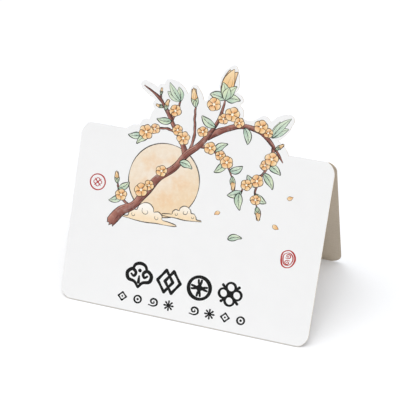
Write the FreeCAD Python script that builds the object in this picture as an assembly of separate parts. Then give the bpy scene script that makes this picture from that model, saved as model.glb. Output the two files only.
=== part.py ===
import FreeCAD, Part
import math
import os

# A greeting card cut from one sheet of board and folded once across its
# width, so that it stands as a tent with its foot edges on the floor.
# The front panel runs on past the fold as a die-cut crest, and the rear
# panel keeps the opening that the crest was cut from.
# +X runs along the width, +Z up, and the printed front faces -Y.
# The origin is at the middle of the footprint.

# driving sizes, in mm
panel_w = 150.0         # width of each panel
panel_h = 105.0         # from the foot to the top of the fold, up the slope
board_t = 0.4           # thickness of the board
corner_r = 8.0          # rounding of the four corners of each panel
lean = 25.277           # lean of each panel from upright, in degrees
fold_inner_r = 0.15     # inside radius of the fold
crest_half_w = 48.0     # half the width of the crest at its root
crest_h = 44.6          # height of the crest above the fold, up the slope

# sizes that follow
sin_l = math.sin(math.radians(lean))
cos_l = math.cos(math.radians(lean))
fold_outer_r = fold_inner_r + board_t
# where the two outer faces would meet if the fold were sharp
sharp_h = panel_h + fold_outer_r * (1.0 / sin_l - 1.0) * cos_l
half_depth = sharp_h * sin_l
bend_start = sharp_h - fold_outer_r * cos_l / sin_l
foot_lift = board_t * sin_l
past = 10.0 * board_t   # how far a cutting shape runs past the board

# (x, up the slope, out of the face) of the front panel, into the part frame
front_frame = FreeCAD.Placement(FreeCAD.Matrix(
    1.0, 0.0, 0.0, 0.0,
    0.0, sin_l, -cos_l, -half_depth,
    0.0, cos_l, sin_l, foot_lift,
    0.0, 0.0, 0.0, 1.0))


def placed(slab, depth):
    """A slab drawn on the plane of the front panel, put in its place."""
    lowered = FreeCAD.Placement(FreeCAD.Vector(0.0, 0.0, depth), FreeCAD.Rotation())
    slab.Placement = front_frame.multiply(lowered)
    return slab


def crest_edges(direction):
    """Edges of the crest outline, standing up (1) or turned down (-1) at the fold."""
    # From the left root to the right root. Each line gives the middle and
    # the end of an arc, or only the end of a straight stretch, as x from
    # the centre and height above the fold, for a crest of the drawn size.
    drawn_half_w = 48.0
    drawn_h = 44.6
    start = (-drawn_half_w, 0.0)
    arcs = [
        ((-44.3, 2.7), (-40.4, 3.2)),       # left shoulder
        ((-39.4, 6.0), (-36.6, 7.35)),      # step
        ((-35.2, 7.5),),
        ((-34.3, 11.0), (-32.8, 14.0)),     # neck
        ((-34.3, 16.4), (-33.0, 18.9)),     # low knob
        ((-37.6, 21.3), (-41.9, 24.2)),     # twig, lower side
        ((-42.6, 27.6), (-39.6, 28.7)),     # twig, tip
        ((-36.0, 27.5), (-32.5, 25.9)),     # twig, upper side
        ((-31.0, 28.1), (-28.6, 28.0)),     # high knob
        ((-28.2, 30.7), (-26.0, 31.6)),     # first lobe, tip
        ((-19.2, 29.8), (-14.5, 24.8)),     # first lobe, right side
        ((-13.5, 27.2), (-13.2, 28.6)),     # second lobe, left side
        ((-11.2, 30.6), (-9.0, 29.5)),      # second lobe, tip
        ((-6.4, 26.4), (-4.7, 22.8)),       # second lobe, right side
        ((-3.6, 22.8), (-2.6, 23.4)),
        ((-1.9, 27.4), (3.5, 29.5)),        # small lobe on the left
        ((3.4, 37.3), (8.6, 44.0)),         # tall lobe, left side
        ((10.4, 44.6), (12.0, 43.2)),       # tall lobe, tip
        ((13.7, 38.0), (14.4, 33.2)),       # tall lobe, right side
        ((13.9, 31.6), (12.6, 29.7)),
        ((16.4, 28.4), (18.3, 25.6)),       # small lobe on the right
        ((17.4, 24.4), (16.2, 23.1)),
        ((18.9, 20.2), (19.0, 16.2)),       # round shoulder
        ((21.6, 15.4), (24.2, 15.6)),       # saddle
        ((26.3, 16.8), (28.2, 17.8)),
        ((31.4, 19.5), (34.2, 17.7)),       # low hump
        ((35.5, 16.7),),
        ((39.2, 20.5), (44.6, 22.2)),       # right lobe, left side
        ((47.9, 20.6), (47.5, 16.9)),       # right lobe, tip
        ((45.4, 11.9), (40.8, 7.1)),        # right lobe, right side
        ((45.2, 4.0), (drawn_half_w, 0.0)),  # right slope
    ]

    def at(point):
        x = point[0] * crest_half_w / drawn_half_w
        s = panel_h + direction * point[1] * crest_h / drawn_h
        return FreeCAD.Vector(x, s, 0.0)

    edges = []
    here = at(start)
    for points in arcs:
        end = at(points[-1])
        if len(points) == 2:
            edges.append(Part.Arc(here, at(points[0]), end).toShape())
        else:
            edges.append(Part.LineSegment(here, end).toShape())
        here = end
    return edges


def crest_blank(direction, far_s, z_low, z_high):
    """The crest outline closed by a straight line at far_s, as a slab."""
    edges = crest_edges(direction)
    left = FreeCAD.Vector(-crest_half_w, panel_h, 0.0)
    right = FreeCAD.Vector(crest_half_w, panel_h, 0.0)
    far_right = FreeCAD.Vector(crest_half_w, far_s, 0.0)
    far_left = FreeCAD.Vector(-crest_half_w, far_s, 0.0)
    edges.append(Part.LineSegment(right, far_right).toShape())
    edges.append(Part.LineSegment(far_right, far_left).toShape())
    edges.append(Part.LineSegment(far_left, left).toShape())
    face = Part.Face(Part.Wire(Part.__sortEdges__(edges)))
    slab = face.extrude(FreeCAD.Vector(0.0, 0.0, z_high - z_low))
    return placed(slab, z_low)


def panel_outline():
    """A rounded rectangle the size of one panel, as a slab through it."""
    half = panel_w / 2.0
    r = corner_r
    k = r * (1.0 - math.sqrt(0.5))
    corners = [
        (-half + r, 0.0), (half - r, 0.0),
        (half - k, k), (half, r),
        (half, sharp_h - r), (half - k, sharp_h - k),
        (half - r, sharp_h), (-half + r, sharp_h),
        (-half + k, sharp_h - k), (-half, sharp_h - r),
        (-half, r), (-half + k, k),
    ]
    p = [FreeCAD.Vector(x, s, 0.0) for x, s in corners]
    edges = [
        Part.LineSegment(p[0], p[1]).toShape(),
        Part.Arc(p[1], p[2], p[3]).toShape(),
        Part.LineSegment(p[3], p[4]).toShape(),
        Part.Arc(p[4], p[5], p[6]).toShape(),
        Part.LineSegment(p[6], p[7]).toShape(),
        Part.Arc(p[7], p[8], p[9]).toShape(),
        Part.LineSegment(p[9], p[10]).toShape(),
        Part.Arc(p[10], p[11], p[0]).toShape(),
    ]
    slab = Part.Face(Part.Wire(edges)).extrude(FreeCAD.Vector(0.0, 0.0, 2.0 * past))
    return placed(slab, -past)


def front_half():
    """The front panel and the front half of the fold, up to the middle plane."""
    bend_z = foot_lift + sharp_h * cos_l - fold_outer_r / sin_l
    half_turn = math.radians(90.0 - lean) / 2.0

    def on_arc(radius, turn):
        y = -radius * math.sin(turn)
        z = bend_z + radius * math.cos(turn)
        return FreeCAD.Vector(0.0, y, z)

    def on_panel(s, depth):
        y = -half_depth + s * sin_l + depth * cos_l
        z = foot_lift + s * cos_l - depth * sin_l
        return FreeCAD.Vector(0.0, y, z)

    foot_out = on_panel(-past, 0.0)
    foot_in = on_panel(-past, board_t)
    bend_out = on_panel(bend_start, 0.0)
    bend_in = on_panel(bend_start, board_t)
    top_out = on_arc(fold_outer_r, 0.0)
    top_in = on_arc(fold_inner_r, 0.0)
    edges = [
        Part.LineSegment(foot_out, bend_out).toShape(),
        Part.Arc(bend_out, on_arc(fold_outer_r, half_turn), top_out).toShape(),
        Part.LineSegment(top_out, top_in).toShape(),
        Part.Arc(top_in, on_arc(fold_inner_r, half_turn), bend_in).toShape(),
        Part.LineSegment(bend_in, foot_in).toShape(),
        Part.LineSegment(foot_in, foot_out).toShape(),
    ]
    face = Part.Face(Part.Wire(edges))
    face.translate(FreeCAD.Vector(-panel_w / 2.0 - past, 0.0, 0.0))
    strip = face.extrude(FreeCAD.Vector(panel_w + 2.0 * past, 0.0, 0.0))
    half = strip.common(panel_outline())

    # no fold between the two roots of the crest
    corners = [
        FreeCAD.Vector(-crest_half_w, bend_start, 0.0),
        FreeCAD.Vector(crest_half_w, bend_start, 0.0),
        FreeCAD.Vector(crest_half_w, bend_start + past, 0.0),
        FreeCAD.Vector(-crest_half_w, bend_start + past, 0.0),
    ]
    outline = Part.makePolygon(corners + corners[:1])
    gap = Part.Face(outline).extrude(FreeCAD.Vector(0.0, 0.0, 2.0 * past))
    return half.cut(placed(gap, -past))


half = front_half()
crest = crest_blank(1.0, bend_start - past, -board_t, 0.0)
window = crest_blank(-1.0, panel_h + past, -past, past)
rear = half.cut(window).mirror(FreeCAD.Vector(0.0, 0.0, 0.0), FreeCAD.Vector(0.0, 1.0, 0.0))
card = half.fuse([crest, rear]).removeSplitter()

solid = card.Solids[0]
print("solids", len(card.Solids), "valid", solid.isValid(), "faces", len(solid.Faces))
box = solid.BoundBox
print("x", box.XMin, box.XMax, "y", box.YMin, box.YMax, "z", box.ZMin, box.ZMax)
print("volume", solid.Volume)

os.makedirs("parts", exist_ok=True)
solid.exportStep("parts/folded_card.step")
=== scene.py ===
import math

import bpy
import numpy as np
from mathutils import Matrix, Vector
from mathutils.geometry import delaunay_2d_cdt


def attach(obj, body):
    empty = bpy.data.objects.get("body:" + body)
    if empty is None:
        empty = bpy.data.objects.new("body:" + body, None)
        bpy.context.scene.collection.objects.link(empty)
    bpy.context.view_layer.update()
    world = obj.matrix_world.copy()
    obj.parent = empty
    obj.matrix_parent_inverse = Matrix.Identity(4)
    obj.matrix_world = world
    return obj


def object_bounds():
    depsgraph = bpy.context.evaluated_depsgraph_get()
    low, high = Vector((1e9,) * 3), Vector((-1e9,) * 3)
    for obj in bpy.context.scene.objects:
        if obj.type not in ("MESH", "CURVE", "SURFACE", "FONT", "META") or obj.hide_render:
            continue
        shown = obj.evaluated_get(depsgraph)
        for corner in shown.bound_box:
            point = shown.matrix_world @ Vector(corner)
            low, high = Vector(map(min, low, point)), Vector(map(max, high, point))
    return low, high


# A tent-folded card. The board gets its finish here: white outside, brown
# inside and at the cut edges. The print lies on the front panel and the
# crest as thin films of ink. The scene is in metres, and the card's sizes
# are in millimetres. The print is drawn in millimetres too: x from the
# middle, y up the slope of the front panel.

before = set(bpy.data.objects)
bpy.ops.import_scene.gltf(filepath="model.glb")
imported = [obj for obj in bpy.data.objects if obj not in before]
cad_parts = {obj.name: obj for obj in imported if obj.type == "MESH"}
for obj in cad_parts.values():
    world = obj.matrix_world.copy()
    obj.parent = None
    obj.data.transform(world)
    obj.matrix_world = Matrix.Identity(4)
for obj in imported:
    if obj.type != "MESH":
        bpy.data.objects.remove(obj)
cad_low, cad_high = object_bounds()

M = 1000.0                      # millimetres in a metre

# the sheet, as in the CAD part
LEAN = math.radians(25.277)     # lean of each panel from upright
SIN_L, COS_L = math.sin(LEAN), math.cos(LEAN)
PANEL_H = 105.0                 # from the foot to the top of the fold, up the slope
CORNER_R = 8.0                  # rounding of the corners of each panel
BOARD = 0.4                     # thickness of the board
ROOT = 48.0                     # half the width of the crest at its root, beside the fold
HALF_W = cad_high[0] * M        # half the width of a panel
FRONT_FOOT = cad_low[1] * M     # y at the outer side of the front panel's foot

# the finish of the board
RIM = 0.38                      # width of the rim along a cut edge, where painted shade and a painted highlight lie
FOOT = 0.9                      # height up to which a foot gets painted contact shade
LAP = 1.2                       # width of the white lap round a corner

# the films of ink
INK_TOP = 0.02                  # how far the ink stands above the board
INK_SUNK = 0.02                 # how far its lower side lies inside the board
PITCH = 1.5                     # spacing of the extra points inside a shaded shape
SAME_POINT = 1e-5               # outlines that pass nearer than this share a point
SHADED = ("moon", "clouds", "leaves", "blossoms", "branch")

# how fine the noise of each finish is, in cells a metre
TOOTH = 2600.0                  # the grain of the white face, which the ink takes on
CLOUDY = 90.0                   # faint light and dark areas of the board
BLOTS = 420.0                   # where the ink is thin or thick


def srgb(r, g, b):
    """A colour of 0 to 255 a channel, as 0 to 1."""
    return np.array((r, g, b), float) / 255.0


# colours of the board
WHITE_DIM, WHITE_LIT = srgb(243, 243, 243), srgb(248, 248, 248)
# the second is painted shade for the upward-facing bend of the fold
WHITE_TOOTH, WHITE_FOLD_SHADE = srgb(236, 236, 236), srgb(236, 236, 236)
# the first is a painted highlight for the strip beside the right and lower rims
WHITE_HIGHLIGHT, WHITE_LAP = srgb(255, 255, 255), srgb(252, 252, 252)
BROWN_DIM, BROWN_LIT = srgb(218, 206, 188), srgb(226, 214, 198)
FIBRE_DARK, FIBRE_PALE = srgb(190, 174, 150), srgb(234, 226, 212)
CUT_PALE, CUT_DARK = srgb(214, 198, 172), srgb(196, 178, 150)
# painted contact shade along the foot of each panel
FOOT_SHADE = srgb(184, 180, 174)

# what any ink turns towards where it lies thin or thick
INK_THIN, INK_THICK = srgb(250, 248, 242), srgb(214, 206, 196)

# colours of the print
LEAF_LINE = srgb(36, 44, 40)
LEAF_PALE, LEAF_PALE_WARM = srgb(234, 243, 220), srgb(230, 236, 192)
LEAF_DEEP, LEAF_DEEP_WARM = srgb(188, 213, 197), srgb(182, 206, 174)
PETAL_LINE, PETAL_FOLD = srgb(76, 48, 32), srgb(240, 184, 116)
PETAL_PALE, PETAL_PALE_WARM = srgb(251, 226, 184), srgb(248, 210, 164)
PETAL_DEEP, PETAL_DEEP_WARM = srgb(238, 178, 108), srgb(232, 158, 98)
EYE, STAMEN = srgb(253, 246, 226), srgb(160, 92, 54)
BARK_LINE, BARK_DARK, BARK_LIGHT = srgb(56, 36, 34), srgb(124, 74, 66), srgb(190, 134, 118)
SKY_LINE = srgb(62, 58, 54)
MOON_CREAM, MOON_PEACH = srgb(245, 235, 223), srgb(243, 213, 174)
MOON_RIM, MOON_PATCH = srgb(241, 215, 178), srgb(240, 198, 152)
CLOUD_PALE, CLOUD_CREAM, CLOUD_WARM = srgb(253, 248, 240), srgb(250, 236, 214), srgb(249, 216, 168)

# the plain inks: the piece that each is laid on, and its colour
BLACK_INK = ("ornaments", srgb(20, 20, 20))
RED_INK = ("red_marks", srgb(180, 50, 48))

SHAPES = []     # in the order in which they are laid down: piece, outline, colour


def smooth(t):
    """0 to 1 with a soft start and end."""
    t = np.clip(t, 0.0, 1.0)
    return t * t * (3.0 - 2.0 * t)


def mix(a, b, t):
    """Colour a at 0, b at 1, for one share or an array of them."""
    t = np.clip(np.asarray(t, float), 0.0, 1.0)[..., None]
    return np.asarray(a) + (np.asarray(b) - np.asarray(a)) * t


def polar(c, r, a, squash=1.0):
    """A point at radius r and a degrees round c."""
    a = math.radians(a)
    return (c[0] + r * math.cos(a), c[1] + r * squash * math.sin(a))


def disc(c, r, n):
    """A round spot with n corners, which is a small lozenge where n is 4."""
    return [polar(c, r, 360.0 * k / n) for k in range(n)]


def between(a, b, c, d, n):
    """n points of a smooth curve from b towards c, where a comes before and d after them."""
    out = []
    for k in range(n):
        t = k / n
        out.append(0.5 * (2 * b + (c - a) * t + (2 * a - 5 * b + 4 * c - d) * t * t
                          + (3 * b - a - 3 * c + d) * t ** 3))
    return out


def curve(points, n):
    """A smooth open curve through the points, in n steps from each to the next."""
    p = [np.array(q, float) for q in points]
    p = [2 * p[0] - p[1]] + p + [2 * p[-1] - p[-2]]
    out = []
    for a, b, c, d in zip(p, p[1:], p[2:], p[3:]):
        out += between(a, b, c, d, n)
    return np.array(out + [p[-2]])


def loop(points, n):
    """A smooth closed curve through the points, in n steps from each to the next."""
    p = [np.array(q, float) for q in points]
    out = []
    for i in range(len(p)):
        out += between(p[i - 1], p[i], p[(i + 1) % len(p)], p[(i + 2) % len(p)], n)
    return np.array(out)


def normals(line, closed=False):
    """Unit normals to the left of a line of points."""
    d = np.roll(line, -1, 0) - np.roll(line, 1, 0) if closed else np.gradient(line, axis=0)
    d = d / np.maximum(np.linalg.norm(d, axis=1), 1e-9)[:, None]
    return np.stack([-d[:, 1], d[:, 0]], 1)


def grow(poly, by):
    """A closed outline moved outward, by one distance or one for each point."""
    poly = np.asarray(poly, float)
    x, y = poly[:, 0], poly[:, 1]
    turn = -1.0 if np.sum(x * np.roll(y, -1) - np.roll(x, -1) * y) > 0 else 1.0
    return poly + turn * normals(poly, True) * np.broadcast_to(by, (len(poly),))[:, None]


def spread(values, count):
    """The values spaced evenly over count places, straight in between."""
    return np.interp(np.linspace(0, 1, count), np.linspace(0, 1, len(values)), values)


def ribbon(line, widths):
    """The outline of a stroke along a line, with widths spread along it."""
    line = np.asarray(line, float)
    side = normals(line) * spread(widths, len(line))[:, None] / 2.0
    return np.vstack([line + side, (line - side)[::-1]])


def edge_line(count, width, turns, shift):
    """Widths of a hand-drawn outline, thick and thin by turns."""
    t = np.linspace(0.0, 2.0 * math.pi, count, endpoint=False)
    return width * (0.45 + 0.55 * np.abs(np.sin(turns * t + shift)))


def put(piece, poly, colour):
    """Lays a shape on top of the earlier ones. The colour is fixed or a function of place."""
    def plain(x, y):
        return np.broadcast_to(colour, x.shape + (3,))
    SHAPES.append((piece, np.asarray(poly, float), colour if callable(colour) else plain))


def stroke(piece, points, widths, colour, n):
    """Lays a stroke along a smooth curve."""
    put(piece, ribbon(curve(points, n), widths), colour)


def blade(base, tip, width, bend, belly, blunt, n):
    """Outline of a leaf or petal, with its middle line, normals and half widths.

    It is widest at the share belly of its length, and rounder at its ends the
    nearer blunt is to 1.
    """
    base, tip = np.array(base, float), np.array(tip, float)
    axis = tip - base
    side = np.array([-axis[1], axis[0]])
    u = (1.0 - np.cos(np.linspace(0.0, math.pi, n))) / 2.0
    mid = base + axis * u[:, None] + side * (bend * 4.0 * u * (1.0 - u))[:, None]
    power = math.log(0.5) / math.log(belly)
    half = width / 2.0 * np.clip(np.sin(math.pi * u ** power), 0.0, 1.0) ** (1.0 - 0.45 * blunt)
    half[0] = half[-1] = 0.0
    across = normals(mid)
    left, right = mid + across * half[:, None], mid - across * half[:, None]
    return np.vstack([left, right[-2:0:-1]]), mid, across, half


def along(base, tip, bend):
    """Place along (0 to 1) and across a leaf or petal, as a function of x and y."""
    base, axis = np.array(base, float), np.array(tip, float) - np.array(base, float)
    size = float(axis @ axis)

    def uv(x, y):
        dx, dy = x - base[0], y - base[1]
        u = (dx * axis[0] + dy * axis[1]) / size
        v = (-dx * axis[1] + dy * axis[0]) / size
        return u, v - bend * 4.0 * u * (1.0 - u)
    return uv


def leaf(base, tip, width, bend, tint, belly=0.42, line=0.58, veins=3):
    """A leaf, paler to its tip and one side, with a middle vein and pairs of side veins.

    Its middle bows aside by the share bend of its length. It is cool green at
    tint 0 and yellowish at 1, and line is the greatest width of its outline.
    """
    poly, mid, across, half = blade(base, tip, width, bend, belly, blunt=0.0, n=13)
    uv = along(base, tip, bend)
    pale = mix(LEAF_PALE, LEAF_PALE_WARM, tint)
    deep = mix(LEAF_DEEP, LEAF_DEEP_WARM, tint)

    def colour(x, y):
        u, v = uv(x, y)
        return mix(deep, pale, 0.12 + 0.62 * smooth(u) + 1.5 * v)
    put("leaves", grow(poly, edge_line(len(poly), line, turns=1.5, shift=tip[0])), LEAF_LINE)
    put("leaves", poly, colour)
    put("leaves", ribbon(mid[:11], [0.44, 0.34, 0.12]), LEAF_LINE)
    for k in range(veins):
        i = 3 + 2 * k
        for s in (1.0, -1.0):
            start = mid[i]
            end = mid[i + 2] + s * across[i + 2] * half[i + 2] * 0.6
            bow = (start + end) / 2 + s * across[i] * 0.05
            put("leaves", ribbon(curve([start, bow, end], 3), [0.15, 0.06]), mix(LEAF_LINE, deep, 0.4))


def petal(base, tip, width, bend, warm, blunt, belly=0.62, line=0.42, n=11):
    """A petal, deep at its base and pale at its tip, and redder the higher warm is."""
    poly = blade(base, tip, width, bend, belly, blunt, n)[0]
    uv = along(base, tip, bend)
    deep = mix(PETAL_DEEP, PETAL_DEEP_WARM, warm)
    pale = mix(PETAL_PALE, PETAL_PALE_WARM, warm)

    def colour(x, y):
        u, v = uv(x, y)
        return mix(deep, pale, 0.1 + 0.8 * smooth(u) + 0.7 * v)
    put("blossoms", grow(poly, edge_line(len(poly), line, turns=1.0, shift=tip[1])), PETAL_LINE)
    put("blossoms", poly, colour)


def blossom(c, r, turn, petals, squash, warm=0.0):
    """An open flower seen from the front, with a ring of stamens round a pale eye.

    Its first petal points turn degrees round from the right, and its height is
    the share squash of its width.
    """
    for k in list(range(0, petals, 2)) + list(range(1, petals, 2)):
        a = turn + 360.0 * k / petals
        petal(polar(c, 0.08 * r, a, squash), polar(c, r, a, squash), 4.9 * r / petals,
              bend=0.03 * (-1) ** k, warm=warm + 0.35 * (k % 2), blunt=0.7, belly=0.66)
    put("blossoms", disc(c, 0.2 * r, 12), EYE)
    for k in range(petals):
        a = turn + 180.0 / petals + 360.0 * k / petals
        stroke("blossoms", [polar(c, 0.16 * r, a), polar(c, 0.4 * r, a + 5)], [0.2, 0.14], PETAL_LINE, 2)
        put("blossoms", disc(polar(c, 0.46 * r, a + 5), 0.05 * r + 0.08, 6), STAMEN)


def bud(base, tip, width, bend, cup, warm=0.0, line=0.42):
    """A closed bud: two side petals behind a front one, held by a cup of leaves.

    The cup's leaves reach to the share cup of its length.
    """
    base, tip = np.array(base, float), np.array(tip, float)
    axis = tip - base
    side = np.array([-axis[1], axis[0]]) / np.linalg.norm(axis) * width
    for s in (1.0, -1.0):
        petal(base, base + axis * 0.94 + side * 0.2 * s, width * 0.62, bend - 0.07 * s, warm + 0.4,
              blunt=0.25, belly=0.46, line=line)
    petal(base, tip, width * 0.6, bend, warm, blunt=0.15, belly=0.46, line=line)
    for s in (1.0, -1.0):
        low, high = base + axis * 0.3 + side * 0.07 * s, base + axis * 0.74 + side * 0.06 * s
        stroke("blossoms", [low, (low + high) / 2 + side * 0.04 * s, high], [0.26, 0.08],
               mix(PETAL_LINE, PETAL_FOLD, 0.35), 3)
    for s in (1.0, -1.0, 0.0):
        reach = cup if s else cup * 0.8
        leaf(base - axis * 0.02, base + axis * reach + side * 0.36 * s, width * 0.4,
             bend=-0.08 * s, tint=0.6, belly=0.45, line=0.4, veins=0)


# the splintered foot of a limb: shares of its width aside, and millimetres out
SPLINTERS = ((-0.5, 0.9), (-0.28, 0.1), (-0.1, 1.9), (0.06, 0.6), (0.24, 1.3), (0.4, -0.1))


def torn_end(line, across, width):
    """Points of the splintered foot of a limb, and of the dark edge round it."""
    wider, longer = 0.8, 0.55       # how much larger the dark edge is
    back = (line[0] - line[2]) / np.linalg.norm(line[0] - line[2])
    wood, edge = [], []
    for off, out in SPLINTERS:
        wood.append(line[0] + across * width * off + back * out)
        edge.append(line[0] + across * (width + wider) * off + back * (out + longer))
    return np.array(wood), np.array(edge)


def limb(points, widths, marks, seed=0.0, torn=False):
    """A branch with a dark edge, a lit upper side and a few bark strokes.

    It swells and shrinks a little along its length, in waves that seed shifts.
    """
    line = curve(points, 10)
    n = len(line)
    t = np.linspace(0, 1, n)
    width = spread(widths, n) * (1 + 0.08 * np.sin(t * 23 + seed) + 0.05 * np.sin(t * 47 + 2 * seed))
    across = normals(line)
    wood, edge = torn_end(line, across[0], width[0]) if torn else np.empty((2, 0, 2))

    # the dark edge is thinner above, and thins out to the tip
    thin = np.clip((1.02 - t) * 9.0, 0.2, 1.0)
    upper = width / 2 + thin * (0.34 + 0.12 * np.sin(t * 31 + seed))
    lower = width / 2 + thin * (0.44 + 0.14 * np.sin(t * 27))
    above, below = line + across * upper[:, None], line - across * lower[:, None]
    put("branch", np.vstack([above, below[::-1], edge]), BARK_LINE)

    def colour(x, y):
        i = np.argmin((line[:, 0] - x[:, None]) ** 2 + (line[:, 1] - y[:, None]) ** 2, 1)
        off = (x - line[i, 0]) * across[i, 0] + (y - line[i, 1]) * across[i, 1]
        off = off / np.maximum(width[i], 0.2)
        return mix(BARK_DARK, BARK_LIGHT, 0.45 + 0.95 * off + 0.12 * np.sin(i * 0.6 + seed))
    half = across * width[:, None] / 2
    put("branch", np.vstack([line + half, (line - half)[::-1], wood]), colour)

    for k in range(marks):
        i = int((k + 0.6) / marks * (n - 12)) + 1
        j = min(n - 2, i + 5 + k % 3 * 3)
        off = (0.26 if k % 2 else -0.22) + 0.05 * math.sin(k * 2.1 + seed)
        if width[i] > 1.2 and j - i > 3:
            mark = line[i:j] + across[i:j] * (width[i:j] * off)[:, None]
            put("branch", ribbon(mark, [0.08, 0.3, 0.26, 0.06]), mix(BARK_LINE, BARK_DARK, 0.25))


def twig(points, widths=(0.9, 0.6, 0.35)):
    """A thin limb with no bark strokes."""
    limb(points, widths, marks=0)


def fan(base, tips, width, tint):
    """Slender leaves that spread from one point."""
    for k, tip in enumerate(tips):
        leaf(base, tip, width, 0.05 * (-1) ** k, tint + 0.2 * (k % 2), belly=0.45, line=0.32, veins=2)


def loose_petal(c, size, turn):
    petal(polar(c, size / 2, turn + 180), polar(c, size / 2, turn), size * 0.62,
          bend=0.1, warm=0.2, blunt=0.5, line=0.26, n=9)


def moon(c, r):
    """A full moon, cream at its upper left and peach below, with faint patches."""
    # each patch: its place across and up from the middle, and its size, as shares of r
    patches = ((-0.38, 0.42, 0.26), (0.2, 0.56, 0.16), (0.46, 0.0, 0.22),
               (-0.5, -0.15, 0.16), (0.1, -0.5, 0.22), (-0.05, 0.12, 0.14))

    def colour(x, y):
        u, v = (x - c[0]) / r, (y - c[1]) / r
        base = mix(MOON_CREAM, MOON_PEACH, smooth(0.34 + 0.5 * (0.45 * u - v)))
        base = mix(base, MOON_RIM, 0.4 * smooth(np.hypot(u, v)))
        shade = np.zeros(x.shape)
        for pu, pv, size in patches:
            wobble = 0.25 * np.sin(5.0 * np.arctan2(v - pv, u - pu) + 9.0 * pu)
            reach = np.hypot(u - pu, (v - pv) * 1.3) / size + wobble
            shade = np.maximum(shade, smooth(1.7 - 1.1 * reach))
        return mix(base, MOON_PATCH, 0.38 * shade)
    outline = disc(c, r, 96)
    put("moon", grow(outline, edge_line(len(outline), width=0.64, turns=2.0, shift=0.4)), SKY_LINE)
    put("moon", outline, colour)


def cloud(c, s, flip=1.0, tone=0.0):
    """A traditional scroll cloud: round lobes with a curl inside, over a long foot.

    It is about six times s wide, mirrored at flip -1, and creamier the higher
    tone is.
    """
    def at(px, py):
        return (c[0] + flip * s * px, c[1] + s * py)
    knots = [(-2.7, -0.55), (-1.9, -0.5), (-1.75, -0.1), (-1.45, 0.25), (-0.95, 0.3), (-0.8, 0.75),
             (-0.3, 1.12), (0.3, 1.1), (0.72, 0.72), (0.85, 0.35), (1.35, 0.42), (1.75, 0.1), (1.85, -0.3),
             (2.6, -0.42), (3.4, -0.62), (2.4, -0.72), (1.2, -0.7), (0.0, -0.78), (-1.4, -0.72)]
    poly = loop([at(*k) for k in knots], 4)
    pale = mix(CLOUD_PALE, CLOUD_CREAM, tone)

    def colour(x, y):
        return mix(CLOUD_WARM, pale, 0.35 + 0.8 * smooth((y - c[1]) / s * 0.6 + 0.35))
    put("clouds", grow(poly, edge_line(len(poly), width=0.58, turns=3.0, shift=0.7)), SKY_LINE)
    put("clouds", poly, colour)
    # each curl: its middle, its radius and the width of its stroke
    for cx, cy, r, width in ((0.02, 0.32, 0.5, 0.46), (-1.25, -0.22, 0.26, 0.38), (1.28, -0.16, 0.3, 0.38)):
        spiral = []
        for k in range(7):
            a, shrunk = 0.75 * k + 2.6, r * (1 - 0.13 * k)
            spiral.append(at(cx + shrunk * math.cos(a), cy + shrunk * math.sin(a)))
        stroke("clouds", spiral, [0.2, width, 0.14], SKY_LINE, 4)


def limbs():
    """The twigs, and over them the left limb, the right limb and the trunk."""
    twig([(-17.5, 107.0), (-24.0, 108.6), (-30.0, 107.4), (-35.0, 104.2)])
    twig([(-22.0, 113.0), (-19.6, 119.5), (-18.2, 125.5)])
    twig([(-8.6, 98.0), (-7.4, 108.0), (-8.6, 117.0), (-9.0, 124.0)], (1.2, 0.8, 0.5))
    twig([(-30.0, 124.0), (-30.4, 128.4)], (0.6, 0.4))
    twig([(-40.5, 61.0), (-46.5, 66.5), (-49.0, 73.5)], (1.2, 0.8, 0.4))
    twig([(39.0, 108.5), (38.6, 99.5), (34.5, 91.0), (32.4, 82.0), (34.6, 73.0)], (1.3, 0.9, 0.7, 0.5, 0.3))
    twig([(-4.0, 102.5), (5.0, 100.5), (13.0, 95.5), (18.0, 87.5)], (1.6, 1.0, 0.7, 0.4))
    twig([(34.6, 91.5), (27.5, 86.0), (23.5, 79.0)], (0.8, 0.5, 0.3))
    limb([(-11.0, 95.5), (-14.6, 103.5), (-20.6, 111.5), (-26.0, 119.5), (-32.0, 126.0), (-40.9, 131.0)],
         [2.8, 2.5, 2.0, 1.5, 1.0, 0.3], marks=9, seed=2.0)
    limb([(0.0, 107.5), (8.0, 112.6), (17.0, 116.4), (26.0, 116.6), (33.4, 113.2), (39.6, 107.6),
          (45.4, 100.4)],
         [3.2, 2.8, 2.4, 2.1, 1.7, 1.2, 0.3], marks=10, seed=4.0)
    limb([(-50.0, 50.0), (-44.6, 57.4), (-37.4, 62.0), (-31.6, 70.6), (-25.0, 80.0), (-16.4, 87.2),
          (-10.6, 96.0), (-3.4, 102.6), (2.2, 111.6), (5.8, 119.4), (7.0, 126.0), (7.4, 130.6)],
         [4.8, 5.0, 4.2, 4.3, 3.7, 3.5, 3.0, 2.7, 1.9, 1.2, 0.8, 0.6], marks=20, seed=0.3, torn=True)


def crest_leaves():
    fan((-18.2, 125.2), [(-26.6, 129.6), (-20.4, 132.9), (-26.0, 134.6)], 3.6, 0.2)
    bud((-9.0, 123.4), (-11.7, 133.6), 5.4, 0.02, 0.45)
    leaf((7.0, 130.2), (-1.6, 131.8), 4.6, -0.06, 0.2)
    leaf((7.8, 130.2), (15.8, 130.8), 4.4, 0.08, 0.3)
    bud((7.4, 130.0), (10.2, 147.4), 11.5, 0.06, 0.5)
    bud((-30.3, 127.0), (-30.2, 131.2), 2.0, 0.0, 0.5, 0.3, 0.22)
    bud((-28.2, 120.3), (-32.4, 121.3), 2.6, 0.05, 0.5, 0.0, 0.24)
    fan((37.0, 113.2), [(45.8, 119.4), (40.2, 122.6), (46.3, 125.2)], 3.9, 0.1)
    leaf((-22.0, 113.5), (-30.5, 113.4), 3.4, 0.1, 0.4)
    leaf((-38.0, 103.2), (-46.2, 101.8), 3.4, 0.1, 0.0)
    leaf((-34.0, 103.0), (-40.6, 97.6), 3.4, -0.1, 0.5)
    leaf((4.0, 114.0), (-4.6, 119.0), 4.0, 0.08, 0.3)
    leaf((21.0, 116.0), (24.0, 107.4), 3.8, 0.1, 0.1)


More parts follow.
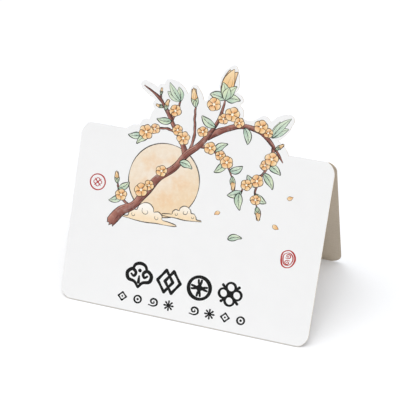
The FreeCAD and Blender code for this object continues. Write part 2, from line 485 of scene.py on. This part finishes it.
def crest_blossoms():
    blossom((8.0, 119.2), 3.0, 25.0, 5, 0.95, 0.3)
    blossom((12.8, 122.4), 4.1, 10.0, 5, 1.0)
    blossom((17.4, 118.4), 2.9, 60.0, 5, 0.95, 0.2)
    blossom((1.4, 126.4), 3.9, 40.0, 5, 0.95, 0.2)
    blossom((34.6, 115.4), 2.7, 20.0, 5, 0.95, 0.3)
    blossom((30.0, 118.2), 3.8, 5.0, 5, 1.0, 0.1)
    blossom((-31.0, 107.4), 2.9, 40.0, 5, 0.95, 0.3)
    blossom((-36.0, 104.8), 4.2, 22.0, 6, 1.0, 0.1)
    blossom((-20.5, 119.4), 3.5, 50.0, 5, 0.9, 0.3)
    blossom((-17.6, 108.8), 2.9, 35.0, 5, 1.0, 0.2)
    blossom((-13.6, 104.8), 3.8, 15.0, 6, 1.0)
    blossom((-2.8, 110.2), 3.1, 30.0, 5, 0.9, 0.3)
    bud((-26.6, 119.0), (-25.2, 125.2), 3.2, 0.03, 0.45)
    bud((40.2, 107.0), (44.4, 110.6), 2.8, 0.0, 0.5)


def right_spray():
    leaf((37.0, 98.0), (44.8, 93.6), 3.8, 0.08, 0.2)
    leaf((35.4, 92.6), (41.6, 85.0), 3.8, 0.1, 0.5)
    leaf((33.0, 85.0), (26.6, 90.4), 3.6, 0.1, 0.0)
    leaf((32.6, 80.6), (39.4, 76.8), 3.6, -0.1, 0.3)
    leaf((24.4, 80.6), (16.8, 77.4), 3.8, 0.08, 0.1)
    leaf((23.5, 79.6), (25.0, 70.4), 4.2, -0.08, 0.4)
    bud((34.6, 73.6), (36.6, 66.0), 4.0, 0.04, 0.45, 0.2)
    blossom((35.6, 97.4), 2.8, 50.0, 5, 0.95, 0.3)
    blossom((38.8, 101.4), 3.8, 12.0, 5, 1.0, 0.1)
    blossom((32.4, 88.0), 3.6, 45.0, 5, 0.95, 0.3)
    blossom((26.8, 84.8), 3.1, 0.0, 5, 1.0, 0.0)
    blossom((33.2, 77.4), 3.0, 20.0, 5, 0.9, 0.2)


def middle_spray():
    leaf((6.0, 100.4), (12.4, 105.6), 3.6, 0.1, 0.2)
    leaf((13.0, 95.6), (7.2, 89.0), 3.8, 0.1, 0.4)
    leaf((16.2, 91.0), (23.0, 94.6), 3.6, -0.1, 0.0)
    bud((18.0, 88.0), (19.6, 80.4), 4.0, 0.02, 0.45, 0.1)
    blossom((9.4, 98.6), 2.8, 10.0, 5, 1.0, 0.3)
    blossom((13.6, 95.4), 3.6, 33.0, 5, 0.95, 0.2)
    blossom((2.8, 101.8), 3.4, 5.0, 5, 1.0, 0.0)


def along_the_trunk():
    leaf((-45.6, 65.6), (-52.6, 62.4), 3.4, 0.1, 0.2)
    leaf((-48.0, 70.0), (-42.0, 74.6), 3.4, -0.1, 0.4)
    bud((-49.0, 73.0), (-50.4, 79.6), 3.6, 0.02, 0.45, 0.2)
    blossom((-45.8, 66.6), 3.4, 18.0, 5, 0.95, 0.1)
    blossom((-29.8, 74.8), 2.9, 55.0, 5, 1.0, 0.0)
    blossom((-34.2, 71.4), 3.9, 30.0, 5, 1.0, 0.2)
    blossom((-23.6, 84.2), 3.3, 8.0, 5, 0.95, 0.0)
    leaf((-13.6, 91.0), (-6.2, 88.6), 3.8, 0.1, 0.2)


def picture():
    """A full moon behind a blossoming branch, with a few loose petals and a leaf."""
    moon((-21.5, 79.0), 21.0)
    cloud((-29.5, 58.0), 5.6)
    cloud((-6.5, 62.0), 3.9, -1.0, 0.4)
    limbs()
    crest_leaves()
    crest_blossoms()
    right_spray()
    middle_spray()
    along_the_trunk()
    loose_petal((52.5, 82.0), 3.4, 200.0)
    loose_petal((47.0, 64.5), 3.8, 150.0)
    loose_petal((12.5, 66.0), 3.4, 30.0)
    leaf((21.0, 52.5), (28.4, 54.6), 3.2, 0.12, 0.3)


def lay(ink, poly):
    """Lays a shape in one of the plain inks, which name their piece and colour."""
    put(ink[0], poly, ink[1])


def pen(c, s, points, widths, ink, n=6):
    """A brush stroke with round ends. Points and widths are in units of s, round c."""
    line = curve([(c[0] + s * x, c[1] + s * y) for x, y in points], n)
    sides = ribbon(line, [w * s for w in widths])
    count = len(line)

    def cap(middle, near, side):
        """Points round the end at middle, from one side over to the other."""
        ahead = (middle - near) / np.linalg.norm(middle - near) * np.linalg.norm(side - middle)
        across = side - middle
        return [middle + ahead * math.sin(math.radians(a)) + across * math.cos(math.radians(a))
                for a in (35, 70, 110, 145)]
    lay(ink, np.vstack([sides[:count], cap(line[-1], line[-2], sides[count - 1]),
                        sides[count:], cap(line[0], line[1], sides[-1])]))


def ring(c, r, width, ink):
    """A closed brushed ring, as one outline that goes round outside and back inside."""
    t = np.linspace(0.0, 2.0 * math.pi, 49)
    round_it = np.stack([np.cos(t), np.sin(t)], 1)
    half = (width / 2.0 * (1.0 + 0.14 * np.sin(2.0 * t + 0.5)))[:, None]
    lay(ink, np.array(c) + np.vstack([round_it * (r + half), (round_it * (r - half))[::-1]]))


# Bold brushed ornaments of the kinds used on borders. Each is about two
# units of s across, round c, and w is the width of its strokes in units of s.

def lozenge(c, s, w, ink, middle=0.0, half_w=0.84, half_h=0.84, ends=1.0, waist=0.75):
    corners = [(middle - half_w, 0.0), (middle, half_h), (middle + half_w, 0.0), (middle, -half_h)]
    for start, end in zip(corners, corners[1:] + corners[:1]):
        pen(c, s, [start, end], [w * ends, w * waist, w * ends], ink, 4)


def joined_lozenges(c, s, w, ink):
    for middle in (-0.3, 0.3):
        lozenge(c, s, w, ink, middle, half_w=0.62, half_h=0.86, ends=0.95, waist=0.72)


def dotted_lozenge(c, s, w, ink):
    lozenge(c, s, w, ink)
    lay(ink, disc(c, 0.24 * s, 4))


def coin(c, s, w, ink):
    """A ring round a four-pointed star with curved sides."""
    ring(c, 0.86 * s, w * s, ink)
    lay(ink, disc(c, 0.1 * s, 12))
    for a in (45.0, 135.0, 225.0, 315.0):
        middle = polar((0.0, 0.0), 0.92, a)
        first, turn, steps = a + 138.0, 84.0, 5
        arc = [polar(middle, 0.78, first + turn * k / steps) for k in range(steps + 1)]
        pen(c, s, arc, [w * 0.6, w * 0.8625, w * 0.6375], ink, 3)


def flower(c, s, w, ink):
    """Four rings round a dot, with a bar between each two."""
    for a in (0.0, 90.0, 180.0, 270.0):
        ring(polar(c, 0.52 * s, a), 0.36 * s, w * s * 0.7, ink)
    lay(ink, disc(c, 0.14 * s, 12))
    for a in (45.0, 135.0, 225.0, 315.0):
        pen(c, s, [polar((0, 0), 0.5, a), polar((0, 0), 0.9, a)], [w * 0.5, w * 0.85], ink, 3)


def scroll_head(c, s, w, ink):
    """Two scrolls that meet in a point below, under an arch with a dot."""
    for f in (1.0, -1.0):
        pen(c, s, [(0.0, -0.9), (f * 0.34, -0.5), (f * 0.86, -0.34), (f * 0.98, 0.14), (f * 0.62, 0.46),
                   (f * 0.3, 0.22), (f * 0.42, -0.08), (f * 0.66, 0.06)],
            [w * 0.7, w * 1.1, w * 0.95, w * 0.6], ink)
    pen(c, s, [(-0.58, 0.46), (-0.4, 0.84), (0.0, 0.98), (0.4, 0.84), (0.58, 0.46)],
        [w * 0.8, w, w * 0.8], ink)
    lay(ink, disc((c[0], c[1] + 0.42 * s), 0.15 * s, 12))
    pen(c, s, [(0.0, -0.5), (0.0, -0.02)], [w, w * 0.5], ink, 3)


def dotted_ring(c, s, w, ink):
    ring(c, 0.72 * s, w * s, ink)
    lay(ink, disc(c, 0.26 * s, 12))


def curl(c, s, w, ink):
    pen(c, s, [(-0.9, -0.6), (0.1, -0.72), (0.8, -0.3), (0.7, 0.5), (0.0, 0.74), (-0.5, 0.34),
               (-0.3, -0.16), (0.2, -0.1), (0.16, 0.26)], [w * 0.6, w * 1.1, w, w * 0.6], ink)


def star(c, s, w, ink):
    for a in (0.0, 45.0, 90.0, 135.0):
        pen(c, s, [polar((0, 0), 0.9, a), (0.0, 0.0), polar((0, 0), 0.9, a + 180)],
            [w * 1.05, w * 0.55, w * 1.05], ink, 4)


def rounded_mark(c, ink):
    """Two uneven oval lines, one inside the other, round a pair of curls."""
    half_w, half_h = 3.9, 5.1
    t = np.linspace(0.0, 2.0 * math.pi, 57)
    for share, width in ((1.0, 0.72), (0.72, 0.5)):
        across = share * half_w * (1 + 0.06 * np.sin(3 * t + share)) * np.cos(t)
        upward = share * half_h * (1 + 0.05 * np.sin(2 * t + 1.0)) * np.sin(t)
        line = np.array(c) + np.stack([across, upward], 1)
        side = normals(line[:-1], True)
        side = np.vstack([side, side[:1]]) * (width / 2.0 * (1.1 + 0.35 * np.sin(2.0 * t + share)))[:, None]
        lay(ink, np.vstack([line + side, (line - side)[::-1]]))
    curl((c[0], c[1] + 1.5), 1.6, 0.34, ink)
    curl((c[0], c[1] - 1.8), -1.6, 0.34, ink)


def ornaments():
    """A row of large ornaments over a row of small ones, and two red marks."""
    big_row, big, big_pen = 21.9, 7.5, 0.27
    for draw, x in ((scroll_head, -28.0), (joined_lozenges, -9.8), (coin, 8.6), (flower, 27.0)):
        draw((x, big_row), big, big_pen, BLACK_INK)
    small_row, small, small_pen = 8.2, 2.9, 0.36
    kinds = (dotted_lozenge, dotted_ring, curl, star)
    for draw, x in zip(kinds, (-36.5, -27.0, -17.5, -8.0)):
        draw((x, small_row), small, small_pen, BLACK_INK)
    for draw, x in zip(kinds[2:] + kinds[:2], (7.4, 16.7, 26.0, 35.3)):
        draw((x, small_row), small, small_pen, BLACK_INK)
    left_mark, right_mark = (-61.0, 71.5), (56.5, 48.0)
    ring(left_mark, r=4.6, width=0.72, ink=RED_INK)
    flower(left_mark, s=2.8, w=0.23, ink=RED_INK)
    rounded_mark(right_mark, RED_INK)


def inside(poly, spots):
    """Which spots the outline goes round, by its turns."""
    a, b = poly, np.roll(poly, -1, 0)
    px, py = spots[:, 0][:, None], spots[:, 1][:, None]
    left = (b[:, 0] - a[:, 0]) * (py - a[:, 1]) - (px - a[:, 0]) * (b[:, 1] - a[:, 1])
    up = (a[:, 1] <= py) & (b[:, 1] > py) & (left > 0)
    down = (a[:, 1] > py) & (b[:, 1] <= py) & (left < 0)
    return (up.sum(1) - down.sum(1)) != 0


def fill_points(shapes):
    """Points inside the shaded shapes in staggered rows, so that colours can change there."""
    every = np.vstack([poly for _, poly, _ in shapes])
    low, high = every.min(0), every.max(0)
    gx, gy = np.meshgrid(np.arange(low[0], high[0], PITCH), np.arange(low[1], high[1], PITCH))
    gx = gx + PITCH / 2 * (np.arange(gx.shape[0]) % 2)[:, None]
    spots = np.stack([gx.ravel(), gy.ravel()], 1)
    wanted = np.zeros(len(spots), bool)
    for piece, poly, _ in shapes:
        if piece in SHADED:
            in_box = (spots >= poly.min(0)).all(1) & (spots <= poly.max(0)).all(1)
            near = np.nonzero(in_box & ~wanted)[0]
            if len(near):
                wanted[near] = inside(poly, spots[near])
    return spots[wanted]


def cut_up(shapes):
    """Cuts the drawing into triangles that no outline crosses: their points and corners."""
    points, edges = [], []
    for _, poly, _ in shapes:
        first, count = len(points), len(poly)
        points += [Vector((float(x), float(y))) for x, y in poly]
        edges += [(first + i, first + (i + 1) % count) for i in range(count)]
    points += [Vector((float(x), float(y))) for x, y in fill_points(shapes)]
    found, _, faces, *_ = delaunay_2d_cdt(points, edges, [], 0, SAME_POINT)
    found = np.array([tuple(p) for p in found])
    faces = np.array([tuple(f) for f in faces])
    a, b, c = found[faces[:, 0]], found[faces[:, 1]], found[faces[:, 2]]
    area = (b[:, 0] - a[:, 0]) * (c[:, 1] - a[:, 1]) - (b[:, 1] - a[:, 1]) * (c[:, 0] - a[:, 0])
    faces[area < 0] = faces[area < 0][:, ::-1]
    return found, faces


def topmost(shapes, middle):
    """The number of the last shape laid over each triangle's middle, or -1."""
    order = np.argsort(middle[:, 0])
    sorted_x = middle[order, 0]
    top = np.full(len(middle), -1)
    for k, (_, poly, _) in enumerate(shapes):
        low, high = poly.min(0), poly.max(0)
        near = order[np.searchsorted(sorted_x, low[0]):np.searchsorted(sorted_x, high[0])]
        near = near[(middle[near, 1] >= low[1]) & (middle[near, 1] <= high[1])]
        if len(near):
            top[near[inside(poly, middle[near])]] = k
    return top


def on_front(xy, out):
    """Points of the drawing, put on the front panel out from its face, in metres."""
    x, s = xy[:, 0], xy[:, 1]
    y = FRONT_FOOT + s * SIN_L - out * COS_L
    z = BOARD * SIN_L + s * COS_L + out * SIN_L
    return np.stack([x, y, z], -1) / M


def linear(c):
    """sRGB to linear light."""
    c = np.clip(c, 0.0, 1.0)
    return np.where(c <= 0.04045, c / 12.92, ((c + 0.055) / 1.055) ** 2.4)


def corner_colours(found, tri, owner):
    """The colour at each corner of the triangles, from the shape that owns each."""
    corner = np.zeros((len(tri), 3, 3))
    for k in np.unique(owner):
        rows = owner == k
        xy = found[tri[rows]]
        colour = SHAPES[k][2](xy[..., 0].ravel(), xy[..., 1].ravel())
        corner[rows] = np.asarray(colour).reshape(-1, 3, 3)
    return corner


def film_walls(tri, corner, below):
    """The walls down from the rim of a film's top, and the colours at their corners."""
    sides = {}
    for f, t in enumerate(tri.tolist()):
        for e in range(3):
            sides[(t[e], t[(e + 1) % 3])] = (f, e)
    walls, colours = [], []
    for (i, j), (f, e) in sides.items():
        if (j, i) not in sides:
            walls.append((i, i + below, j + below, j))
            ci, cj = corner[f, e], corner[f, (e + 1) % 3]
            colours.append((ci, ci, cj, cj))
    return walls, np.array(colours)


def film(name, found, faces, top, material):
    """One colour group of the print, as a thin closed film on the board."""
    mine = np.array([piece == name for piece, _, _ in SHAPES])
    take = np.nonzero((top >= 0) & mine[np.maximum(top, 0)])[0]
    corner = corner_colours(found, faces[take], top[take])
    used, tri = np.unique(faces[take], return_inverse=True)
    tri = tri.reshape(-1, 3)
    below = len(used)       # from the number of a point on the top to that of the one under it
    walls, wall_colours = film_walls(tri, corner, below)

    places = np.vstack([on_front(found[used], INK_TOP), on_front(found[used], -INK_SUNK)])
    polygons = tri.tolist() + (tri[:, ::-1] + below).tolist() + walls
    colours = np.vstack([corner.reshape(-1, 3), corner[:, ::-1].reshape(-1, 3), wall_colours.reshape(-1, 3)])
    mesh = bpy.data.meshes.new("print_" + name)
    mesh.from_pydata(places.tolist(), [], polygons)
    layer = mesh.color_attributes.new("ink", "FLOAT_COLOR", "CORNER")
    rgba = np.hstack([linear(colours), np.ones((len(colours), 1))])
    layer.data.foreach_set("color", rgba.astype(np.float32).ravel())
    mesh.materials.append(material)
    mesh.validate()
    ob = bpy.data.objects.new("print_" + name, mesh)
    bpy.context.scene.collection.objects.link(ob)
    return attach(ob, "root")


class Nodes:
    """A new material, with short ways to add its nodes."""

    def __init__(self, name):
        self.material = bpy.data.materials.new(name)
        self.material.use_nodes = True
        self.tree = self.material.node_tree
        self.tree.nodes.clear()

    def join(self, value, socket):
        """Links an output to the socket, or sets a fixed value or an srgb colour on it."""
        if isinstance(value, bpy.types.NodeSocket):
            self.tree.links.new(value, socket)
        elif isinstance(value, np.ndarray):
            socket.default_value = (*linear(value).tolist(), 1.0)
        else:
            socket.default_value = value

    def add(self, kind, settings=None, **inputs):
        """A node, with its inputs by name, _ for a space, or by number as i0 and so on."""
        node = self.tree.nodes.new(kind)
        for key, value in (settings or {}).items():
            setattr(node, key, value)
        for key, value in inputs.items():
            by_number = key[0] == "i" and key[1:].isdigit()
            self.join(value, node.inputs[int(key[1:]) if by_number else key.replace("_", " ")])
        return node

    def maths(self, kind, a, b=0.0):
        return self.add("ShaderNodeMath", {"operation": kind}, i0=a, i1=b).outputs[0]

    def above(self, a, b):
        return self.maths("GREATER_THAN", a, b)

    def under(self, a, b):
        return self.maths("LESS_THAN", a, b)

    def times(self, a, b):
        return self.maths("MULTIPLY", a, b)

    def absolute(self, a):
        return self.maths("ABSOLUTE", a)

    def dot(self, vector, direction):
        node = self.add("ShaderNodeVectorMath", {"operation": "DOT_PRODUCT"}, i0=vector, i1=direction)
        return node.outputs["Value"]

    def ramp(self, value, start, end, most):
        """0 at start, most at end, straight in between."""
        node = self.add("ShaderNodeMapRange", None, Value=value, i1=start, i2=end, i3=0.0, i4=most)
        return node.outputs[0]

    def noise(self, place, scale, detail, roughness, distortion=0.0):
        node = self.add("ShaderNodeTexNoise", None, Vector=place, Scale=scale, Detail=detail,
                        Roughness=roughness, Distortion=distortion)
        return node.outputs["Fac"]

    def tooth(self, place):
        """The fine grain of the white face."""
        return self.noise(place, TOOTH, detail=4.0, roughness=0.6)

    def fibres(self, place, turn, lengthwise, crosswise, distortion):
        """Long thin fibres that lie one way, with so many cells a metre each way."""
        stretched = self.add("ShaderNodeMapping", None, i0=place, Rotation=turn,
                             Scale=(lengthwise, crosswise, crosswise)).outputs[0]
        return self.noise(stretched, 1.0, 3.0, 0.5, distortion)

    def blend(self, factor, a, b, kind="MIX"):
        """Colour a at 0 and b at 1, or with kind MULTIPLY, a times b at 1."""
        node = self.add("ShaderNodeMix", {"data_type": "RGBA", "blend_type": kind})
        for index, value in ((0, factor), (6, a), (7, b)):
            self.join(value, node.inputs[index])
        return node.outputs[2]

    def surface(self, colour, relief, roughness, specular, strength, depth):
        """The shader over a relief so many metres deep, and the output. Returns the material."""
        bump = self.add("ShaderNodeBump", None, Strength=strength, Distance=depth, Height=relief)
        shader = self.add("ShaderNodeBsdfPrincipled", None, Base_Color=colour, Roughness=roughness,
                          Normal=bump.outputs[0])
        shader.inputs["Specular IOR Level"].default_value = specular
        self.add("ShaderNodeOutputMaterial", None, Surface=shader.outputs[0])
        return self.material


def side_masks(nodes, x, normal):
    """Where the flat outsides, the outside of the fold, and the insides are."""
    facing = 0.97       # how squarely a flat face looks out of its panel, at least
    sideways = 0.1      # how far a face of the fold looks sideways, at most
    skyward = 0.3       # how far it looks up, at least
    clear = 0.1         # how far beside the crest the fold is seen to begin
    front = nodes.dot(normal, (0.0, -COS_L, SIN_L))
    rear = nodes.dot(normal, (0.0, COS_L, SIN_L))
    outside = nodes.above(nodes.maths("MAXIMUM", front, rear), facing)
    inside_face = nodes.under(nodes.maths("MINIMUM", front, rear), -facing)
    look = nodes.add("ShaderNodeSeparateXYZ", None, i0=normal).outputs
    beside_crest = nodes.above(nodes.absolute(x), (ROOT + clear) / M)
    level = nodes.under(nodes.absolute(look[0]), sideways)
    fold = nodes.times(nodes.times(beside_crest, level), nodes.above(look[2], skyward))
    return outside, fold, inside_face


def rim_masks(nodes):
    """Painted shade along the rim to the right and below, and a painted highlight in the strip beside it."""
    # the smoothed normal leans over towards an edge, the more the nearer it is
    rounded = nodes.add("ShaderNodeBevel", {"samples": 8}, Radius=RIM / M).outputs[0]
    flat = nodes.add("ShaderNodeNewGeometry").outputs["True Normal"]
    leaning = nodes.add("ShaderNodeVectorMath", {"operation": "SUBTRACT"}, i0=rounded, i1=flat).outputs[0]
    to_right = nodes.dot(leaning, (1.0, 0.0, 0.0))
    down_slope = nodes.dot(leaning, (0.0, -SIN_L, -COS_L))
    nearness = nodes.maths("MAXIMUM", to_right, down_slope)
    # painted shade in the brown of the cut edge, nearest the right and lower edges
    painted_rim_shade = nodes.ramp(nearness, start=0.15, end=0.4, most=0.9)
    # a painted highlight in a strip just inside that painted shade
    painted_rim_highlight = nodes.ramp(nearness, start=0.01, end=0.12, most=1.0)
    return painted_rim_shade, painted_rim_highlight


def lap_mask(nodes, x, z):
    """Where the white facing laps over the rounded corner at the upper left."""
    middle_x = HALF_W - CORNER_R
    middle_s = PANEL_H - CORNER_R + BOARD * SIN_L / COS_L
    from_left = nodes.maths("ADD", x, middle_x / M)
    from_top = nodes.maths("SUBTRACT", nodes.times(z, 1.0 / COS_L), middle_s / M)
    squares = nodes.maths("ADD", nodes.maths("POWER", from_left, 2.0), nodes.maths("POWER", from_top, 2.0))
    in_corner = nodes.times(nodes.under(from_left, 0.0), nodes.above(from_top, 0.0))
    return nodes.times(in_corner, nodes.above(nodes.maths("SQRT", squares), (CORNER_R - LAP) / M))


def board_material():
    """White outside, natural brown inside and at the cut edges."""
    nodes = Nodes("card_board")
    coords = nodes.add("ShaderNodeTexCoord")
    place, normal = coords.outputs["Object"], coords.outputs["Normal"]
    xyz = nodes.add("ShaderNodeSeparateXYZ", None, i0=place)
    x, z = xyz.outputs[0], xyz.outputs[2]
    outside, fold, inside_face = side_masks(nodes, x, normal)
    painted_rim_shade, painted_rim_highlight = rim_masks(nodes)
    tooth = nodes.tooth(place)
    cloudy = nodes.noise(place, CLOUDY, detail=3.0, roughness=0.55)
    dark_fibres = nodes.fibres(place, (0.3, 0.6, 0.5), lengthwise=700.0, crosswise=1900.0, distortion=1.2)
    pale_fibres = nodes.fibres(place, (0.8, 1.1, 1.9), lengthwise=650.0, crosswise=1800.0, distortion=1.5)

    brown = nodes.blend(cloudy, BROWN_DIM, BROWN_LIT)
    brown = nodes.blend(nodes.ramp(dark_fibres, start=0.52, end=0.72, most=0.4), brown, FIBRE_DARK)
    brown = nodes.blend(nodes.ramp(pale_fibres, start=0.56, end=0.74, most=0.45), brown, FIBRE_PALE)
    cut = nodes.blend(dark_fibres, CUT_PALE, CUT_DARK)

    # the white face, with painted shade and a painted highlight along its right and lower rims, painted
    # shade on the bend of the fold and painted contact shade along its foot
    white = nodes.blend(cloudy, WHITE_DIM, WHITE_LIT)
    white = nodes.blend(nodes.times(tooth, 0.35), white, WHITE_TOOTH)
    # painted highlight beside the right and lower rims
    white = nodes.blend(painted_rim_highlight, white, WHITE_HIGHLIGHT)
    # painted shade on the bend of the fold, where it faces up to the lamps
    painted_fold_shade = nodes.times(fold, nodes.maths("SUBTRACT", 1.0, outside))
    white = nodes.blend(painted_fold_shade, white, WHITE_FOLD_SHADE)
    # painted shade: the brown of the cut edge laid along the right and lower rims
    white = nodes.blend(painted_rim_shade, white, cut)
    # painted contact shade along the foot, darker towards the bottom
    white = nodes.blend(nodes.ramp(z, start=FOOT / M, end=0.6 * FOOT / M, most=0.85), white, FOOT_SHADE)

    colour = nodes.blend(inside_face, cut, brown)
    colour = nodes.blend(lap_mask(nodes, x, z), colour, WHITE_LAP)
    colour = nodes.blend(nodes.maths("MAXIMUM", outside, fold), colour, white)
    fibres = nodes.maths("ADD", dark_fibres, pale_fibres)
    relief = nodes.maths("ADD", nodes.times(tooth, 0.6), nodes.times(fibres, 0.25))
    return nodes.surface(colour, relief, roughness=0.78, specular=0.25, strength=0.22, depth=0.00004)


def ink_material(name, wash):
    """Printed ink: its own colour, paler and deeper in blots, over the tooth of the board."""
    nodes = Nodes(name)
    place = nodes.add("ShaderNodeTexCoord").outputs["Object"]
    ink = nodes.add("ShaderNodeAttribute", {"attribute_name": "ink"}).outputs["Color"]
    blot = nodes.noise(place, BLOTS, detail=4.0, roughness=0.6)
    colour = nodes.blend(nodes.ramp(blot, start=0.5, end=0.72, most=wash), ink, INK_THIN)
    thick = nodes.ramp(blot, start=0.5, end=0.3, most=wash * 0.5)
    colour = nodes.blend(thick, colour, INK_THICK, "MULTIPLY")
    tooth = nodes.tooth(place)
    return nodes.surface(colour, tooth, roughness=0.62, specular=0.2, strength=0.2, depth=0.00003)


def lay_floor():
    """A white floor that keeps the card's shadow and is white to the camera round it."""
    half = 6.0
    white, cool = (0.95, 0.955, 0.968, 1.0), (0.80, 0.88, 1.0, 1.0)
    lifted = 0.12       # how much of the cool light the floor gives to the camera
    mesh = bpy.data.meshes.new("floor")
    corners = [(-half, -half, 0.0), (half, -half, 0.0), (half, half, 0.0), (-half, half, 0.0)]
    mesh.from_pydata(corners, [], [(0, 1, 2, 3)])
    floor = bpy.data.objects.new("floor", mesh)
    bpy.context.scene.collection.objects.link(floor)
    nodes = Nodes("floor_white")
    lit = nodes.add("ShaderNodeBsdfDiffuse", None, Color=white)
    path = nodes.add("ShaderNodeLightPath").outputs
    seen = nodes.maths("MAXIMUM", path["Is Camera Ray"], path["Is Glossy Ray"])
    seen = nodes.maths("MAXIMUM", seen, path["Is Transmission Ray"])
    glow = nodes.add("ShaderNodeEmission", None, Color=cool, Strength=nodes.times(seen, lifted))
    both = nodes.add("ShaderNodeAddShader", None, i0=lit.outputs[0], i1=glow.outputs[0])
    nodes.add("ShaderNodeOutputMaterial", None, Surface=both.outputs[0])
    mesh.materials.append(nodes.material)
    return floor


def light_sky():
    """An even white sky."""
    world = bpy.data.worlds.new("studio")
    bpy.context.scene.world = world
    world.use_nodes = True
    background = world.node_tree.nodes["Background"]
    background.inputs["Color"].default_value = (1.0, 1.0, 1.0, 1.0)
    background.inputs["Strength"].default_value = 0.45


def sun(name, azimuth, elevation, strength, angle):
    """A soft distant lamp; azimuth 0 shines from the front and 90 from the right."""
    lamp = bpy.data.lights.new(name, "SUN")
    lamp.energy = strength
    lamp.angle = math.radians(angle)
    ob = bpy.data.objects.new(name, lamp)
    bpy.context.scene.collection.objects.link(ob)
    a, e = math.radians(azimuth), math.radians(elevation)
    towards = Vector((math.sin(a) * math.cos(e), -math.cos(a) * math.cos(e), math.sin(e)))
    ob.rotation_euler = towards.to_track_quat("Z", "Y").to_euler()


def set_camera():
    """The photograph's view: from the front, a little to the right and above."""
    place = (0.17582, -0.55417, 0.41506)
    azimuth, elevation, roll = math.radians(17.879), math.radians(31.698), math.radians(0.796)
    data = bpy.data.cameras.new("camera")
    data.sensor_width = 36.0
    data.lens = 105.91
    data.clip_start = 0.01
    data.shift_x, data.shift_y = -0.00125, 0.00125
    camera = bpy.data.objects.new("camera", data)
    bpy.context.scene.collection.objects.link(camera)
    ahead = Vector((-math.sin(azimuth) * math.cos(elevation), math.cos(azimuth) * math.cos(elevation),
                    -math.sin(elevation)))
    right = Vector((math.cos(azimuth), math.sin(azimuth), 0.0))
    turned = Matrix((right, right.cross(ahead), -ahead)).transposed()
    camera.matrix_world = Matrix.Translation(place) @ turned.to_4x4() @ Matrix.Rotation(roll, 4, "Z")
    bpy.context.scene.camera = camera


# the board
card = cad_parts["folded_card"]
card.data.materials.clear()
card.data.materials.append(board_material())

# the print, with how uneven each ink is
WASH = {"moon": 0.25, "clouds": 0.2, "branch": 0.14, "leaves": 0.2, "blossoms": 0.2,
        "ornaments": 0.0, "red_marks": 0.08}
picture()
ornaments()
found, faces = cut_up(SHAPES)
top = topmost(SHAPES, found[faces].mean(1))
for group, wash in WASH.items():
    film(group, found, faces, top, ink_material("ink_" + group, wash))

# the studio
lay_floor()
light_sky()
sun("lamp_left", azimuth=-50.0, elevation=68.0, strength=0.70, angle=32.0)
sun("lamp_right", azimuth=15.0, elevation=68.0, strength=1.15, angle=30.0)
set_camera()
bpy.context.scene.view_settings.view_transform = "Standard"
